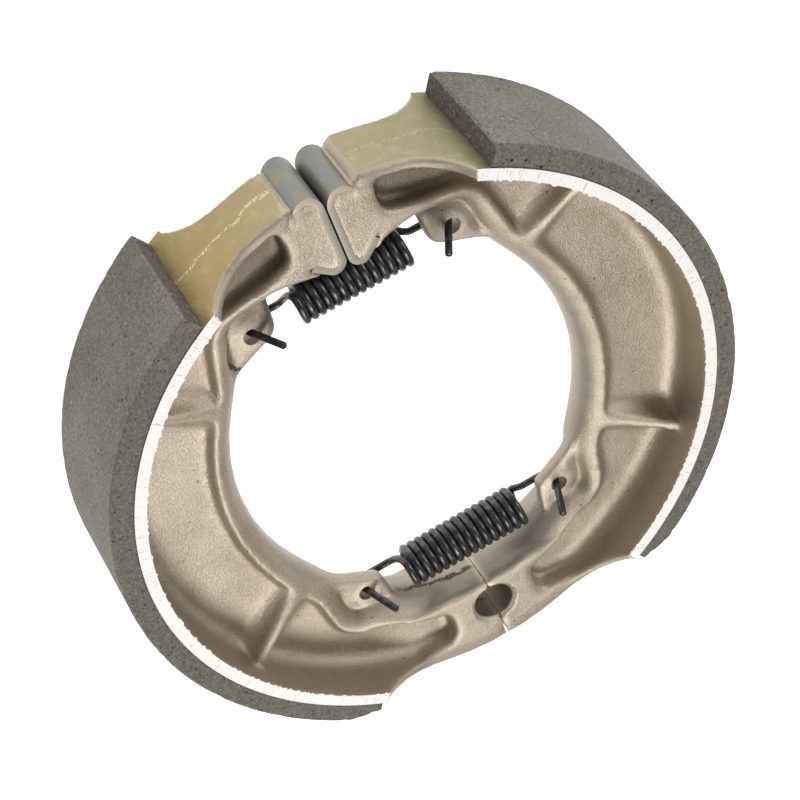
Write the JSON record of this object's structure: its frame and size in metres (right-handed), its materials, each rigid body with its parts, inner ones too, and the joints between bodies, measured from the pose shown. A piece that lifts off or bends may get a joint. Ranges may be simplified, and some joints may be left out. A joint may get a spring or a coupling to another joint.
{
  "type": "drum brake shoe pair",
  "caption": "Pair of die-cast drum brake shoes with bonded linings, held together by coil return springs, with a shared anchor pin seat and steel cam faces.",
  "frame": {"origin": "on the axis of the brake drum, at the lower edges of the two shoes", "axes": "+Z along the drum axis, +Y toward the cam end, +X toward the right shoe, with the shoes closed"},
  "size_m": [0.1244, 0.1213, 0.028],
  "materials": {
    "casting": "shot-blasted die casting, with machined edges",
    "lining": "ground friction material with fine metal and fibre specks",
    "slipper": "zinc-plated sheet steel",
    "spring": "dark oiled spring wire"
  },
  "bodies": {
    "right_side": {"right_shoe": "casting", "right_lining": "lining", "right_cam_slipper": "slipper", "cam_end_spring": "spring", "anchor_end_spring": "spring"},
    "left_side": {"left_shoe": "casting", "left_lining": "lining", "left_cam_slipper": "slipper"}
  },
  "joints": [
    {"name": "shoes_open", "type": "hinge", "parent": "right_side", "child": "left_side", "pos_m": [0, -0.0499, 0.014], "axis": [0, 0, 1], "range_deg": [0, 2.5], "stiffness_Nm_per_rad": 30, "springref_deg": -1.15, "deforming": ["cam_end_spring", "anchor_end_spring"]}
  ]
}
